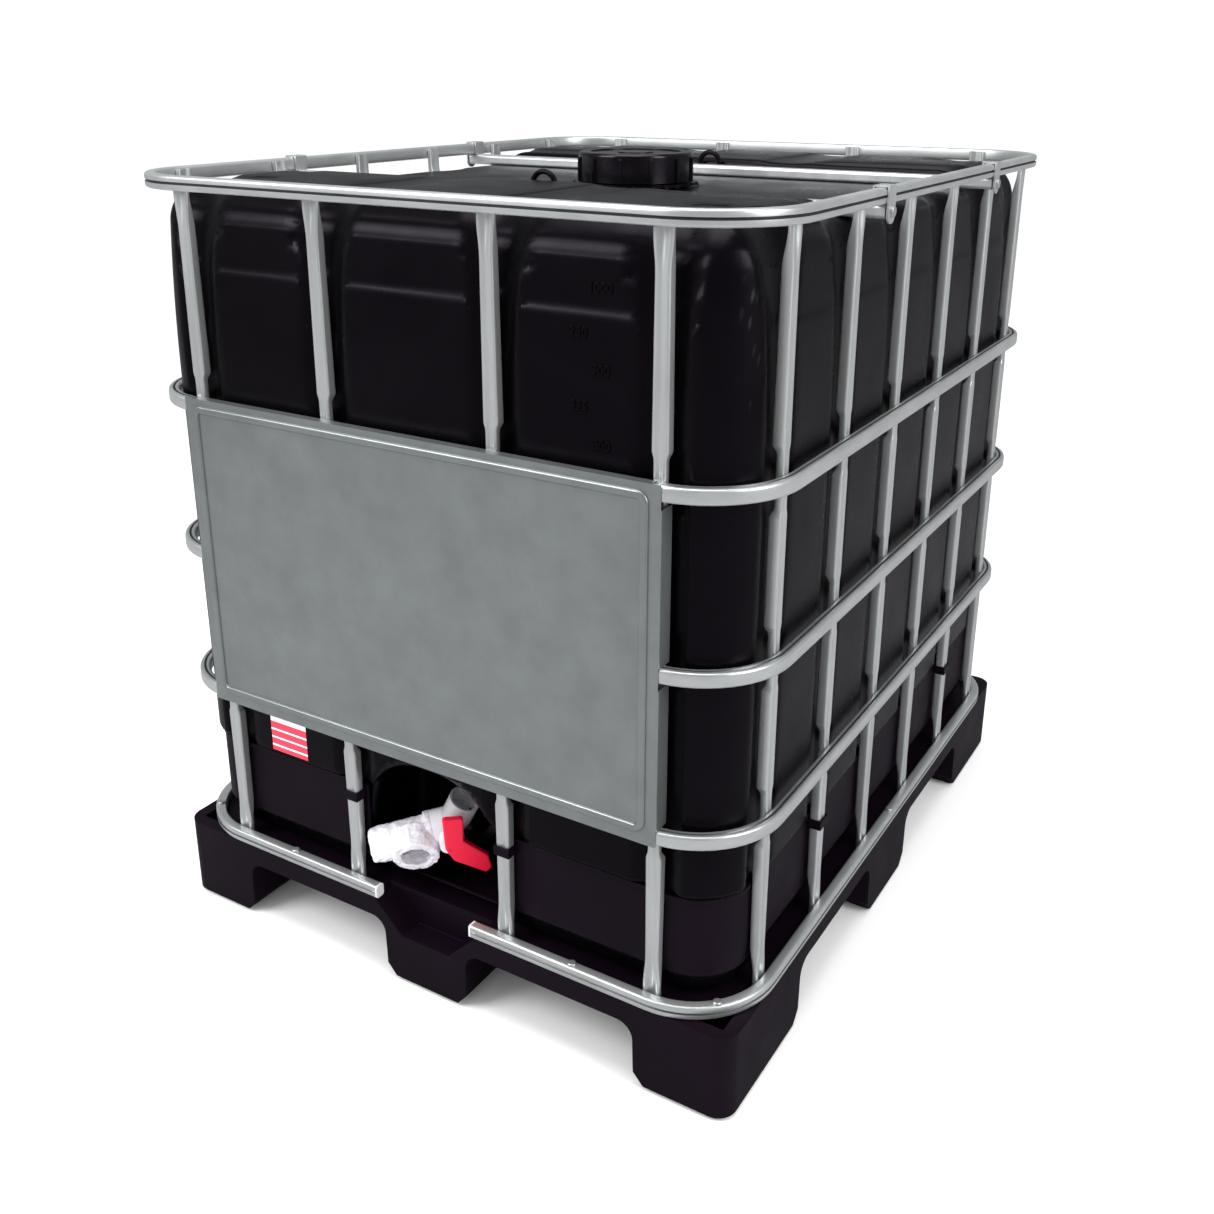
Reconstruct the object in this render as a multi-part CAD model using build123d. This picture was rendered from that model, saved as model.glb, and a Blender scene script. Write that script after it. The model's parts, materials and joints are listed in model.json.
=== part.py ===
"""Intermediate bulk container: a plastic bottle in a steel tube cage on a plastic pallet.

Frame: +X right along the front, +Y to the back, +Z up, origin on the floor under the middle.
All sizes are in millimetres. Each sub-part is written to parts/NODE.step.
"""
import os
from math import sqrt

from build123d import *

os.makedirs("parts", exist_ok=True)

# ---- cage: overall size and rings ----
cage_x = 1000.0              # outside width over the rings
cage_y = 1200.0              # outside depth over the rings
cage_top = 1165.0            # top of the top ring, where the next container stands
ring_height = 20.0
ring_depth = 16.0
ring_wall = 1.2
ring_corner = 128.0          # outer corner radius seen from above
ring_edge = 4.0              # rounding of the ring tube's own section
upper_ring_z = 850.0
middle_ring_z = 623.0
lower_ring_z = 400.0
front_gap = 176.0            # break in the bottom ring, in front of the valve
end_cap_length = 7.0
end_cap_lip = 3.0
end_cap_clearance = 0.1      # plug to the ring's inside

# ---- cage: upright tubes ----
tube_width = 20.0
tube_depth = 15.0
tube_wall = 1.1
tube_edge = 4.0
tube_end_margin = 3.0        # how far the uprights stop short of the cage's top and bottom
valve_bay = 273.0            # centre distance of the two uprights beside the valve
front_corner_inset = 128.0   # cage side to the centre of the outer front upright
side_corner_inset = 121.0    # cage front to the centre of the outer side upright
side_tube_count = 6

# ---- pallet ----
pallet_height = 134.0
pallet_inset_x = 4.0         # cage side to pallet side
pallet_inset_y = 3.0
pallet_corner = 28.0
pallet_wall = 8.0
foot_wall = 20.0             # side walls of the hollow feet
end_beam = 60.0              # solid beams under the front and back edges
side_beam = 40.0             # solid beams under the left and right edges
fork_height = 100.0          # underside of the pallet's beams
corner_foot_x = 142.0
corner_foot_y = 229.0
middle_foot_x = 147.0
middle_foot_y = 171.0
foot_chamfer = 24.0          # height of the sloped foot of each pocket
foot_flare = 22.0            # how much wider a pocket is at the floor
foot_draft = 2.0             # how much narrower it is at its roof
base_chamfer = 6.0
fork_fillet = 25.0
notch_top = 190.0            # valve notch in the front beam
notch_bottom = 84.0
notch_height = 52.0
notch_depth = 40.0
deck_thickness = 3.0
deck_clearance = 2.0

# ---- base tray ----
tray_gap = 3.0               # uprights to the tray's wall
tray_wall = 4.0
tray_lip_z = 300.0
tray_bevel = 44.0
tray_corner = 78.0
lip_height = 7.0
lip_proud = 1.5
tray_seat_gap = 0.5
tray_scoop = 26.0            # floor to the bottom of the valve opening in the tray's front
bevel_share = 0.5            # how much a bevel shrinks for each step inwards

# ---- bottle ----
bottle_wall = 2.5
lobe_gap = 10.0              # rings to the faces of the lobes
lobe_corner = 88.0
lobe_lift = 3.0              # tray lip to the bottom of the lobes
shoulder_radius = 56.0
lobe_heel_radius = 6.0
ridge_top = 1154.0           # crest of the front and rear ridges
plateau_top = 1127.0         # the lower middle of the top, where the cross bars lie
plateau_margin = 26.0        # cross bar centre to the ridge beside it
groove_width = 40.0          # groove behind each upright
groove_clearance = 4.0       # uprights to the groove's floor
heel_gap = 5.0               # tray wall to the bottle's foot
heel_corner = 70.0
heel_bevel = 42.0
heel_overlap = 60.0          # how far the foot reaches up inside the lobes
recess_half_width = 120.0    # valve recess
recess_top = 361.0
recess_corner = 108.0
recess_back = 119.0          # lobe face to the recess's back wall

# ---- filling neck and lid ----
neck_radius = 80.0
neck_wall = 7.0
neck_top = 1168.0
neck_flange_radius = 97.0
neck_flange_z = 1134.0
neck_flange_thickness = 3.0
gasket_height = 3.0
gasket_width = 6.0
lid_gap = 0.3
lid_top = 1179.0
lid_skirt_bottom = 1135.5
lid_radius = 89.0
lid_thread_gap = 1.5
lid_rib_count = 12
lid_rib_width = 5.0
lid_rib_proud = 3.5
lid_rib_top_gap = 8.0
lid_edge = 5.0               # rounding of the lid's top edge
lid_rim = 18.0               # width of the raised rim on top
lid_dish = 2.0               # depth of the dish inside the rim
lid_boss_radius = 28.0
lid_boss_drop = 0.5
seal_tab_width = 12.0
seal_tab_height = 16.0
seal_tab_thickness = 4.0
seal_tab_edge = 1.5
seal_tab_turn = -18.0        # from the front towards the left

# ---- cross bars and their hooks ----
bar_y = 238.0                # cross bars, in front of and behind the neck
bar_height = 18.0
bar_width = 22.0
bar_edge = 5.0
bar_wall = 1.2
bar_end_gap = 2.0
hook_width = 25.0
hook_thickness = 2.5
hook_gap = 0.5
hook_tongue = 24.0           # how far the hook hangs below the top ring
hook_tip_flat = 2.0          # flat left at the hook's rounded tip
bolt_head_radius = 7.0
bolt_head_height = 4.0
bolt_radius = 4.0
bolt_length = 24.0           # length of the bored plug in each end of a cross bar
bolt_tip_gap = 2.0
bolt_head_edge = 1.2
loop_width = 46.0
loop_rod = 4.0
loop_height = 41.0
loop_offset = 8.0            # cross bar side to the loop's centre line

# ---- label plate ----
plate_sheet = 1.2
plate_side_gap = 2.0         # outer upright to the folded side flange
plate_flange_depth = 26.0
plate_bend = 3.0
plate_gap = 0.3              # sheet to the rings it hooks over
plate_hem = 12.0             # depth of the folds over and under the rings
plate_bead_inset = 21.0
plate_bead_width = 11.0
plate_bead_height = 3.5
plate_notch = 9.0            # room around each ring in the side flange
plate_notch_width = 12.0
plate_bead_top_shift = 6.0   # the bead lies nearer to the top edge than to the bottom one
plate_bead_corner = 16.0
plate_bead_flat = 0.4

# ---- small fittings ----
screw_radius = 6.5
screw_dome = 3.5
screw_round = 0.8            # share of the dome's height that is rounded
clip_height = 14.0
clip_thickness = 2.5
clip_z = 286.0
clip_clearance = 0.3
sticker_width = 72.0
sticker_height = 62.0
sticker_thickness = 0.4
sticker_x = -266.0
sticker_z = 341.0

# ---- drain valve ----
outlet_z = 232.0
outlet_radius = 29.0
outlet_bore = 20.0
outlet_length = 6.0
outlet_gasket = 2.0
inlet_flange_radius = 34.0
inlet_flange = 5.0
nut_radius = 42.0
nut_clearance = 0.5
nut_lip = 4.0
nut_wall_gap = 1.0           # bottle to the back of the nut
elbow_reach = 16.0           # inlet flange to the bend
elbow_bore = 17.0
ball_offset = 34.0           # bend to the ball's centre
ball_radius = 20.0
ball_bore = 15.0
chamber_clearance = 1.5      # ball to the chamber's wall
chamber_back = 3.0           # wall between the chamber and the elbow
housing_wall = 9.5
housing_bevel = 8.0          # at the back, where the housing passes the nut
running_gap = 0.05
seat_length = 8.0
stem_radius = 6.0
stem_shoulder = 2.0          # width of the step that holds the stem in
shoulder_clearance = 0.3
boss_wall = 8.0
boss_height = 16.5           # housing to the top of the stem's boss
tang_width = 5.0
tang_length = 11.0
tang_depth = 4.5
seal_depth = 8.0             # boss top to the stem seal
seal_rod = 1.2
spout_radius = 26.5
spout_wall = 3.5
spout_length = 113.0         # ball's centre to the closed front end
spout_edge = 9.0
spout_collar = 9.0           # collar that meets the housing
branch_place = 45.0          # ball's centre to the outlet branch
branch_radius = 34.0
branch_bore = 22.0
branch_reach = 38.0
branch_floor = 8.0           # how far the branch's bore starts from the barrel's axis
bonnet_radius = 23.5
bonnet_wall = 3.0
bonnet_base = 16.0
bonnet_top = 63.0
bonnet_floor = 6.0           # housing to the bottom of the socket's inside
bonnet_shift = 8.0
joint_clearance = 0.01       # between moulded pieces that are welded to each other
lever_gap = 3.5              # boss to the lever
lever_thickness = 10.0
lever_grip = 6.0             # how far the stem reaches into the lever
lever_corner = 5.0
lever_edge = 2.5
lever_screw_radius = 2.5
lever_screw_head = 5.5
lever_screw_head_height = 2.5
lever_screw_depth = 12.0     # how far the screw reaches into the stem
screw_slot = 1.2

# ---- derived places ----
chamber_radius = ball_radius + chamber_clearance
housing_radius = chamber_radius + housing_wall
housing_front = ball_radius
boss_radius = stem_radius + boss_wall
boss_top = housing_radius + boss_height
seal_z = boss_top - seal_depth
lever_bottom = boss_top + lever_gap
stem_top = lever_bottom + lever_grip
stem_shoulder_radius = stem_radius + stem_shoulder
half_x = cage_x / 2
half_y = cage_y / 2
top_ring_z = cage_top - ring_height / 2
bottom_ring_z = pallet_height + ring_height / 2
ring_inner_x = half_x - ring_depth
ring_inner_y = half_y - ring_depth
tube_inner_x = ring_inner_x - tube_depth
tube_inner_y = ring_inner_y - tube_depth
outer_front_x = half_x - front_corner_inset
front_tube_x = [-outer_front_x, -valve_bay / 2, valve_bay / 2, outer_front_x]
outer_side_y = half_y - side_corner_inset
side_pitch = 2 * outer_side_y / (side_tube_count - 1)
side_tube_y = [-outer_side_y + side_pitch * i for i in range(side_tube_count)]
lobe_x = ring_inner_x - lobe_gap
lobe_y = ring_inner_y - lobe_gap
tray_x = tube_inner_x - tray_gap
tray_y = tube_inner_y - tray_gap
heel_x = tray_x - tray_wall - heel_gap
heel_y = tray_y - tray_wall - heel_gap
pallet_x = half_x - pallet_inset_x
pallet_y = half_y - pallet_inset_y
deck_top = pallet_height + deck_thickness
tray_floor = deck_top + tray_seat_gap
bottle_floor = tray_floor + tray_wall + tray_seat_gap
bar_z = cage_top - ring_height - bar_height / 2
recess_y = -(lobe_y - recess_back)
lobe_bottom_z = tray_lip_z + lobe_lift


def write(node, shape):
    """Write one sub-part under its node name."""
    export_step(shape, f"parts/{node}.step")


def block(x0, x1, y0, y1, z0, z1):
    """A box from its lowest to its highest corner."""
    centre = Location(((x0 + x1) / 2, (y0 + y1) / 2, (z0 + z1) / 2))
    return centre * Box(x1 - x0, y1 - y0, z1 - z0)


def slab(size_x, size_y, corner, z0, z1):
    """An upright prism with rounded corners."""
    return Location((0, 0, z0)) * extrude(RectangleRounded(size_x, size_y, corner), z1 - z0)


def round_slab(size_x, size_y, corner, z0, z1, top_radius, bottom_radius):
    """A rounded prism whose top and bottom edges are rounded too."""
    body = slab(size_x, size_y, corner, z0, z1)
    if top_radius > 0:
        body = fillet(body.faces().sort_by(Axis.Z)[-1].edges(), top_radius)
    if bottom_radius > 0:
        body = fillet(body.faces().sort_by(Axis.Z)[0].edges(), bottom_radius)
    return body


# ---------------------------------------------------------------- cage
def ring_solid(inset, edge):
    """One ring's tube, pulled in on all sides by inset, centred on z = 0."""
    height = ring_height - 2 * inset
    depth = ring_depth - 2 * inset
    outer = RectangleRounded(cage_x - 2 * inset, cage_y - 2 * inset, ring_corner - inset)
    hole_x = cage_x - 2 * inset - 2 * depth
    hole_y = cage_y - 2 * inset - 2 * depth
    hole = RectangleRounded(hole_x, hole_y, ring_corner - inset - depth)
    ring = Location((0, 0, -height / 2)) * extrude(outer - hole, height)
    flat_edges = ring.edges().filter_by(lambda e: abs(e.center().Z) > height / 2 - 0.01)
    return fillet(flat_edges, edge)


def build_rings():
    tube = ring_solid(0, ring_edge) - ring_solid(ring_wall, ring_edge - ring_wall)
    heights = {
        "top_ring": top_ring_z,
        "upper_ring": upper_ring_z,
        "middle_ring": middle_ring_z,
        "lower_ring": lower_ring_z,
    }
    for node, z in heights.items():
        write(node, Location((0, 0, z)) * tube)
    gap = block(-front_gap / 2, front_gap / 2, -half_y - 5, -half_y + 50, -20, 20)
    write("bottom_ring", Location((0, 0, bottom_ring_z)) * (tube - gap))


def build_end_caps():
    """A plug in each open end of the bottom ring, beside the valve."""
    caps = []
    centre_y = -half_y + ring_depth / 2
    section = RectangleRounded(ring_depth, ring_height, ring_edge)
    shrink = 2 * (ring_wall + end_cap_clearance)
    plug_edge = ring_edge - ring_wall - end_cap_clearance
    plug = RectangleRounded(ring_depth - shrink, ring_height - shrink, plug_edge)
    for side in (-1, 1):
        place = Plane((side * front_gap / 2, centre_y, bottom_ring_z), x_dir=(0, 1, 0), z_dir=(side, 0, 0))
        cap = place * Location((0, 0, -end_cap_lip)) * extrude(section, end_cap_lip)
        cap += place * extrude(plug, end_cap_length)
        caps.append(cap)
    write("ring_end_caps", Compound(children=caps))


def stand_off(reach, straight):
    """How far a tube moves in so that its edge clears the ring's rounded corner."""
    inner_corner = ring_corner - ring_depth
    past = max(0.0, reach - straight)
    return inner_corner - sqrt(inner_corner ** 2 - past ** 2)


def upright(x, y, along_x):
    """A flattened steel tube standing at x, y, its wide face along X or along Y."""
    size = (tube_width, tube_depth) if along_x else (tube_depth, tube_width)
    outer = RectangleRounded(size[0], size[1], tube_edge)
    inner = RectangleRounded(size[0] - 2 * tube_wall, size[1] - 2 * tube_wall, tube_edge - tube_wall)
    z0 = pallet_height + tube_end_margin
    z1 = cage_top - tube_end_margin
    return Location((x, y, z0)) * extrude(outer - inner, z1 - z0)


def build_uprights():
    edge_reach = tube_width / 2 - tube_edge / 2
    for i, x in enumerate(front_tube_x):
        inset = stand_off(abs(x) + edge_reach, half_x - ring_corner)
        y = ring_inner_y - tube_depth / 2 - inset
        write(f"front_tube_{i + 1}", upright(x, -y, True))
        write(f"back_tube_{i + 1}", upright(x, y, True))
    for i, y in enumerate(side_tube_y):
        inset = stand_off(abs(y) + edge_reach, half_y - ring_corner)
        x = ring_inner_x - tube_depth / 2 - inset
        write(f"left_tube_{i + 1}", upright(-x, y, False))
        write(f"right_tube_{i + 1}", upright(x, y, False))


def build_ring_screws():
    """Domed heads that hold the bottom ring down on the pallet."""
    top = bottom_ring_z + ring_height / 2
    edge_x = half_x - ring_depth / 2
    edge_y = half_y - ring_depth / 2
    bend = ring_corner - ring_depth / 2
    corner_x = half_x - ring_corner + bend / sqrt(2)
    corner_y = half_y - ring_corner + bend / sqrt(2)
    mid_x = (valve_bay / 2 + outer_front_x) / 2
    places = []
    for sx in (-1, 1):
        places.append((sx * edge_x, 0))
        for sy in (-1, 1):
            places.append((sx * corner_x, sy * corner_y))
            places.append((sx * mid_x, sy * edge_y))
    head = Location((0, 0, top + screw_dome / 2)) * Cylinder(screw_radius, screw_dome)
    head = fillet(head.faces().sort_by(Axis.Z)[-1].edges(), screw_dome * screw_round)
    write("ring_screws", Compound(children=[Location((x, y, 0)) * head for x, y in places]))


# ---------------------------------------------------------------- pallet
def fork_tunnel(near, far, length, along_y):
    """The space for one fork: sloped sides, chamfered foot, rounded roof."""
    points = [
        (near - foot_flare, -1),
        (near, foot_chamfer),
        (near + foot_draft, fork_height),
        (far - foot_draft, fork_height),
        (far, foot_chamfer),
        (far + foot_flare, -1),
    ]
    profile = Face(Wire.make_polygon([(u, v, 0) for u, v in points], close=True))
    roof = [v for v in profile.vertices() if v.Y > fork_height - 1]
    profile = fillet(roof, fork_fillet)
    x_dir = (1, 0, 0) if along_y else (0, 1, 0)
    z_dir = (0, -1, 0) if along_y else (1, 0, 0)
    return extrude(Plane((0, 0, 0), x_dir=x_dir, z_dir=z_dir) * profile, length / 2, both=True)


def notch_profile():
    """The valve notch's outline in the XZ plane, from above the deck down."""
    half_top = notch_top / 2
    half_bottom = notch_bottom / 2
    high = pallet_height + 10
    low = pallet_height - notch_height
    points = [(-half_top, high), (-half_top, pallet_height), (-half_bottom, low)]
    points += [(half_bottom, low), (half_top, pallet_height), (half_top, high)]
    return Face(Wire.make_polygon([(x, 0, z) for x, z in points], close=True))


def foot_spans(middle, corner, half):
    """The three stretches that the feet cover along one direction."""
    return [(-half, corner - half), (-middle / 2, middle / 2), (half - corner, half)]


def build_pallet():
    body = slab(2 * pallet_x, 2 * pallet_y, pallet_corner, 0, pallet_height)
    base_edges = body.faces().sort_by(Axis.Z)[0].edges()
    body = chamfer(base_edges, base_chamfer)
    near_x = middle_foot_x / 2
    far_x = pallet_x - corner_foot_x
    near_y = middle_foot_y / 2
    far_y = pallet_y - corner_foot_y
    for turn in (0, 180):
        spin = Rotation(0, 0, turn)
        body -= spin * fork_tunnel(near_x, far_x, 2 * half_y + 100, True)
        body -= spin * fork_tunnel(near_y, far_y, 2 * half_x + 100, False)
    for x0, x1 in foot_spans(middle_foot_x, corner_foot_x, pallet_x):
        for y0, y1 in foot_spans(middle_foot_y, corner_foot_y, pallet_y):
            y_low = y0 + foot_wall
            if x0 > -pallet_x and x1 < pallet_x and y0 < -middle_foot_y:
                y_low = -pallet_y + notch_depth + pallet_wall
            z_low = foot_chamfer + pallet_wall
            body -= block(x0 + foot_wall, x1 - foot_wall, y_low, y1 - foot_wall, z_low, pallet_height + 1)
    # open cells between the feet, over the fork tunnels
    for sx in (-1, 1):
        xa, xb = sorted((sx * (near_x + pallet_wall), sx * (far_x - pallet_wall)))
        y_far = pallet_y - end_beam
        body -= block(xa, xb, -y_far, y_far, fork_height + pallet_wall, pallet_height + 1)
    for sy in (-1, 1):
        ya, yb = sorted((sy * (near_y + pallet_wall), sy * (far_y - pallet_wall)))
        x_far = pallet_x - side_beam
        body -= block(-x_far, x_far, ya, yb, fork_height + pallet_wall, pallet_height + 1)
    notch = extrude(notch_profile(), notch_depth, dir=(0, 1, 0))
    body -= Location((0, -pallet_y - 1, 0)) * notch
    write("pallet", body)


def build_deck():
    inner_x = ring_inner_x - deck_clearance
    inner_y = ring_inner_y - deck_clearance
    corner = ring_corner - ring_depth - deck_clearance
    deck = slab(2 * inner_x, 2 * inner_y, corner, pallet_height, deck_top)
    half = notch_top / 2
    cut = block(-half, half, -half_y, notch_depth - pallet_y, pallet_height - 1, deck_top + 1)
    write("pallet_deck", deck - cut)


# ---------------------------------------------------------------- base tray
def tray_solid(inset, z0, z1):
    body = slab(2 * (tray_x - inset), 2 * (tray_y - inset), tray_corner - inset, z0, z1)
    low_edges = body.faces().sort_by(Axis.Z)[0].edges()
    return chamfer(low_edges, tray_bevel - bevel_share * inset)


def build_tray():
    outer = tray_solid(0, tray_floor, tray_lip_z)
    lip_x = tray_x + lip_proud
    lip_y = tray_y + lip_proud
    outer += slab(2 * lip_x, 2 * lip_y, tray_corner + lip_proud, tray_lip_z - lip_height, tray_lip_z)
    tray = outer - tray_solid(tray_wall, tray_floor + tray_wall, tray_lip_z + 10)
    cut_bottom = tray_floor + tray_scoop
    cut_back = recess_y
    tray -= block(-recess_half_width, recess_half_width, -half_y, cut_back, cut_bottom, tray_lip_z + 10)
    write("base_tray", tray)


# ---------------------------------------------------------------- bottle
def recess_solid(grow):
    """The arched pocket in the bottle's front that holds the valve."""
    half = recess_half_width + grow
    top = recess_top + grow
    low = bottle_floor - 50
    corners = [(-half, 0, low), (half, 0, low), (half, 0, top), (-half, 0, top)]
    outline = Face(Wire.make_polygon(corners, close=True))
    crown = [v for v in outline.vertices() if v.Z > top - 1]
    outline = fillet(crown, recess_corner)
    depth = recess_y + grow + half_y
    return Location((0, -half_y, 0)) * extrude(outline, depth, dir=(0, 1, 0))


def groove_solid(grow, z0, z1):
    """Vertical channels behind the uprights."""
    depth_y = lobe_y - (tube_inner_y - groove_clearance) + grow
    depth_x = lobe_x - (tube_inner_x - groove_clearance) + grow
    width = groove_width + 2 * grow
    cutters = []
    for x in front_tube_x:
        for side in (-1, 1):
            centre = side * (lobe_y - depth_y + 50)
            cutters.append(block(x - width / 2, x + width / 2, centre - 50, centre + 50, z0, z1))
    for y in side_tube_y:
        for side in (-1, 1):
            centre = side * (lobe_x - depth_x + 50)
            cutters.append(block(centre - 50, centre + 50, y - width / 2, y + width / 2, z0, z1))
    return cutters


def bottle_solid(inset):
    """The bottle's outer shape, or its inside when pulled in by the wall."""
    corner = lobe_corner - inset
    x = 2 * (lobe_x - inset)
    y = 2 * (lobe_y - inset)
    shoulder = shoulder_radius - inset
    body = round_slab(x, y, corner, lobe_bottom_z + inset, ridge_top - inset, shoulder, lobe_heel_radius)
    for cutter in groove_solid(inset, 0, ridge_top + 10):
        body -= cutter
    foot_top = lobe_bottom_z + heel_overlap
    foot = slab(2 * (heel_x - inset), 2 * (heel_y - inset), heel_corner, bottle_floor + inset, foot_top)
    body += chamfer(foot.faces().sort_by(Axis.Z)[0].edges(), heel_bevel - bevel_share * inset)
    plateau_y = bar_y + plateau_margin
    body -= block(-half_x, half_x, -plateau_y - inset, plateau_y + inset, plateau_top - inset, ridge_top + 10)
    body -= recess_solid(inset)
    return body


def along_y_tube(radius, y0, y1, x, z):
    """A cylinder along Y."""
    length = y1 - y0
    return Location((x, (y0 + y1) / 2, z), (90, 0, 0)) * Cylinder(radius, length)


def build_bottle():
    shell = bottle_solid(0) - bottle_solid(bottle_wall)
    neck = slab_disc(neck_radius, plateau_top - bottle_wall, neck_top)
    neck += slab_disc(neck_flange_radius, neck_flange_z - neck_flange_thickness, neck_flange_z)
    shell += neck
    shell -= slab_disc(neck_radius - neck_wall, plateau_top - bottle_wall - 20, neck_top + 1)
    shell += along_y_tube(outlet_radius, recess_y - outlet_length, recess_y + bottle_wall, 0, outlet_z)
    shell -= along_y_tube(outlet_bore, recess_y - outlet_length - 1, recess_y + 20, 0, outlet_z)
    write("bottle", shell)


def slab_disc(radius, z0, z1):
    """An upright cylinder between two heights."""
    return Location((0, 0, (z0 + z1) / 2)) * Cylinder(radius, z1 - z0)


def build_sticker():
    face_y = -lobe_y
    write("info_label", block(sticker_x - sticker_width / 2, sticker_x + sticker_width / 2,
                              face_y - sticker_thickness, face_y,
                              sticker_z - sticker_height / 2, sticker_z + sticker_height / 2))


# ---------------------------------------------------------------- lid
def build_lid():
    ceiling = neck_top + lid_gap + gasket_height + lid_gap
    inner = neck_radius + lid_thread_gap
    cap = slab_disc(lid_radius, lid_skirt_bottom, lid_top)
    cap = fillet(cap.faces().sort_by(Axis.Z)[-1].edges(), lid_edge)
    rib_height = lid_top - lid_skirt_bottom - lid_rib_top_gap
    rib_z = lid_skirt_bottom + rib_height / 2
    root = (lid_radius - inner) / 2
    for i in range(lid_rib_count):
        rib = Box(lid_rib_proud + root, lid_rib_width, rib_height)
        spin = Rotation(0, 0, 360 / lid_rib_count * (i + 0.5))
        cap += spin * Location((lid_radius + (lid_rib_proud - root) / 2, 0, rib_z)) * rib
    cap -= slab_disc(inner, lid_skirt_bottom - 1, ceiling)
    cap -= slab_disc(lid_radius - lid_rim, lid_top - lid_dish, lid_top + 1)
    cap += slab_disc(lid_boss_radius, lid_top - lid_dish - 1, lid_top - lid_boss_drop)
    write("lid_cap", cap)

    gasket_bottom = neck_top + lid_gap
    gasket = slab_disc(neck_radius, gasket_bottom, gasket_bottom + gasket_height)
    gasket -= slab_disc(neck_radius - gasket_width, gasket_bottom - 1, gasket_bottom + gasket_height + 1)
    write("lid_gasket", gasket)

    tab_z = lid_skirt_bottom + seal_tab_height / 2
    tab_y = -lid_radius - lid_rib_proud - seal_tab_thickness / 2
    tab = Box(seal_tab_width, seal_tab_thickness, seal_tab_height)
    tab = fillet(tab.edges().filter_by(Axis.Z), seal_tab_edge)
    write("seal_tab", Rotation(0, 0, seal_tab_turn) * Location((0, tab_y, tab_z)) * tab)


# ---------------------------------------------------------------- cross bars
def build_bars():
    length = cage_x - 2 * bar_end_gap
    section = RectangleRounded(bar_width, bar_height, bar_edge)
    hollow = RectangleRounded(bar_width - 2 * bar_wall, bar_height - 2 * bar_wall, bar_edge - bar_wall)
    place = Plane((0, 0, 0), x_dir=(0, 1, 0), z_dir=(1, 0, 0))
    bar = extrude(place * (section - hollow), length / 2, both=True)
    for side in (-1, 1):
        end = side * (length / 2 - bolt_length / 2)
        plug = Location((end, 0, 0)) * extrude(place * hollow, bolt_length / 2, both=True)
        bar += plug
        bore = Location((end, 0, 0), (0, 90, 0)) * Cylinder(bolt_radius, bolt_length + 2)
        bar -= bore
    write("front_cross_bar", Location((0, -bar_y, bar_z)) * bar)
    write("rear_cross_bar", Location((0, bar_y, bar_z)) * bar)


def hook_shape():
    """A strap bent over the top ring, drawn for the right side and the middle of Y."""
    t = hook_thickness
    inner = ring_inner_x - hook_gap
    outer = half_x + hook_gap
    roof = cage_top + hook_gap
    tongue = cage_top - ring_height - hook_tongue
    strap = block(inner - t, outer + t, -hook_width / 2, hook_width / 2, roof, roof + t)
    strap += block(inner - t, inner, -hook_width / 2, hook_width / 2, cage_top - ring_height, roof)
    strap += block(outer, outer + t, -hook_width / 2, hook_width / 2, tongue, roof)
    crown = strap.edges().filter_by(Axis.Y).filter_by(lambda e: e.center().Z > roof + t / 2)
    strap = fillet(crown, t - hook_gap)
    low = strap.edges().filter_by(Axis.X).filter_by(lambda e: e.center().Z < tongue + t)
    strap = fillet(low, (hook_width - hook_tip_flat) / 2)
    hole = Location((outer, 0, bar_z), (0, 90, 0)) * Cylinder(bolt_radius, 4 * t)
    return strap - hole


def build_hooks():
    hook = hook_shape()
    head = Location((half_x + hook_gap + hook_thickness + bolt_head_height / 2, 0, bar_z), (0, 90, 0))
    shank_start = half_x - bar_end_gap - bolt_length + bolt_tip_gap
    shank_end = half_x + hook_gap + hook_thickness
    shank_place = Location(((shank_start + shank_end) / 2, 0, bar_z), (0, 90, 0))
    bolt = head * Cylinder(bolt_head_radius, bolt_head_height)
    bolt = fillet(bolt.faces().sort_by(Axis.X)[-1].edges(), bolt_head_edge)
    bolt += shank_place * Cylinder(bolt_radius, shank_end - shank_start)
    bolts = []
    for row, y in (("front", -bar_y), ("rear", bar_y)):
        for side, turn in (("right", 0), ("left", 180)):
            spin = Location((0, y, 0)) * Rotation(0, 0, turn)
            write(f"{row}_{side}_hook", spin * hook)
            bolts.append(spin * bolt)
    write("hook_bolts", Compound(children=bolts))


def loop_shape(z0):
    """A round-rod arch standing on the bottle, its plane across Y."""
    half = loop_width / 2 - loop_rod
    rise = loop_height - loop_rod - half
    start = Edge.make_line((-half, 0, z0), (-half, 0, z0 + rise))
    bend = Edge.make_three_point_arc((-half, 0, z0 + rise), (0, 0, z0 + rise + half), (half, 0, z0 + rise))
    end = Edge.make_line((half, 0, z0 + rise), (half, 0, z0))
    path = Wire([start, bend, end])
    section = Plane((-half, 0, z0), z_dir=(0, 0, 1)) * Circle(loop_rod)
    return sweep(section, path=path)


def build_loops():
    arch = loop_shape(plateau_top)
    offset = bar_y + bar_width / 2 + loop_offset
    write("front_loop", Location((0, -offset, 0)) * arch)
    write("rear_loop", Location((0, offset, 0)) * arch)


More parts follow.
